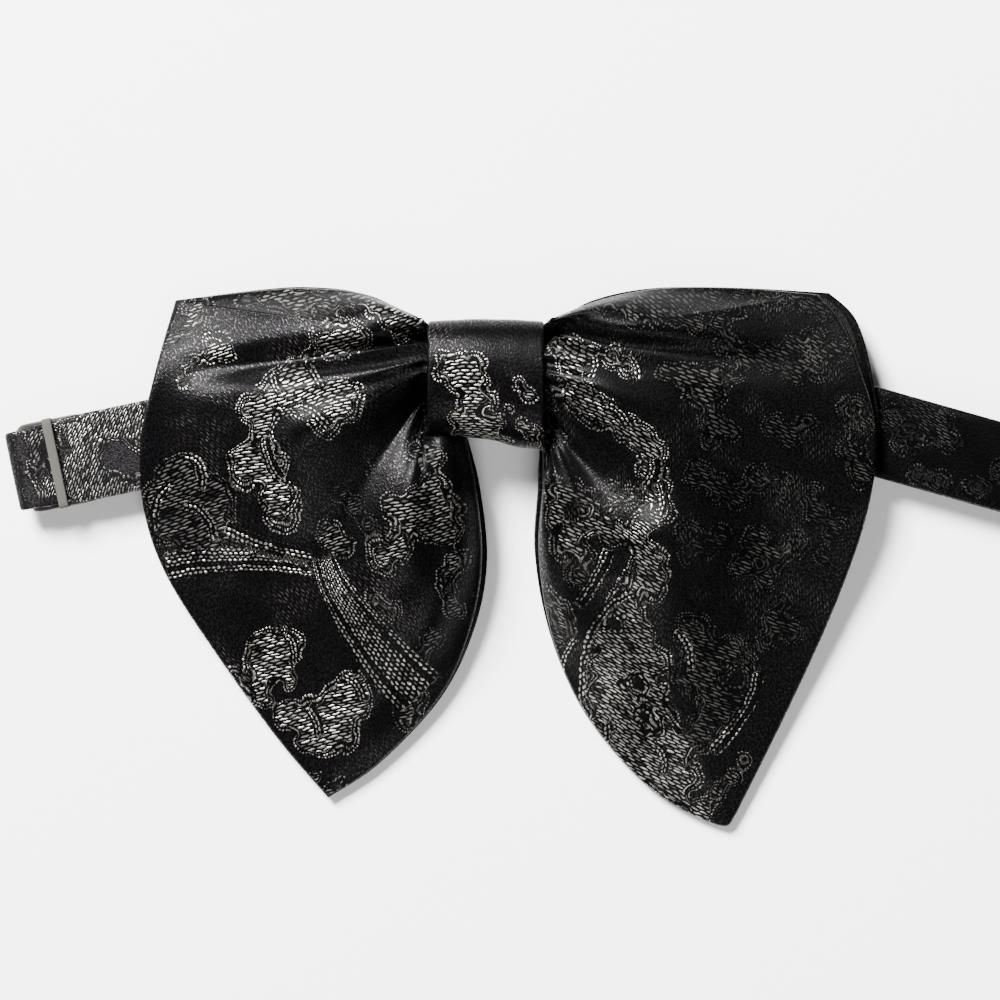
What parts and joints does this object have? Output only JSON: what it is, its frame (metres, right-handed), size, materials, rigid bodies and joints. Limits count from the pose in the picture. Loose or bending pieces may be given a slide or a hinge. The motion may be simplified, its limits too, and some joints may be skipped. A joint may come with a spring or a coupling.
{
  "type": "oversized bow tie",
  "caption": "Oversized ready-tied bow tie with two pointed drooping wings gathered into a knot band, on an adjustable neck strap with slider and hook.",
  "frame": {"origin": "on the surface that the bow tie lies on, under the neck strap's back run, below the middle of the knot", "axes": "+X along the bow towards the right-hand wing as its face is seen, +Y towards its upper edge, +Z out of its face"},
  "size_m": [0.2436, 0.1246, 0.0241],
  "materials": {
    "jacquard": "black jacquard satin with a raised tonal scroll pattern",
    "jacquard_back": "the same cloth on the back panels, with its duller side to the edge",
    "jacquard_strap": "folded band of the same black jacquard satin",
    "slider_plastic": "matt warm grey",
    "clasp_metal": "dull nickel-plated wire"
  },
  "bodies": {
    "root": {"left_wing_front": "jacquard", "left_wing_back": "jacquard_back", "right_wing_front": "jacquard", "right_wing_back": "jacquard_back", "knot_band": "jacquard", "strap_left": "jacquard_strap", "strap_right": "jacquard_strap", "slider": "slider_plastic", "clasp": "clasp_metal"}
  },
  "joints": []
}
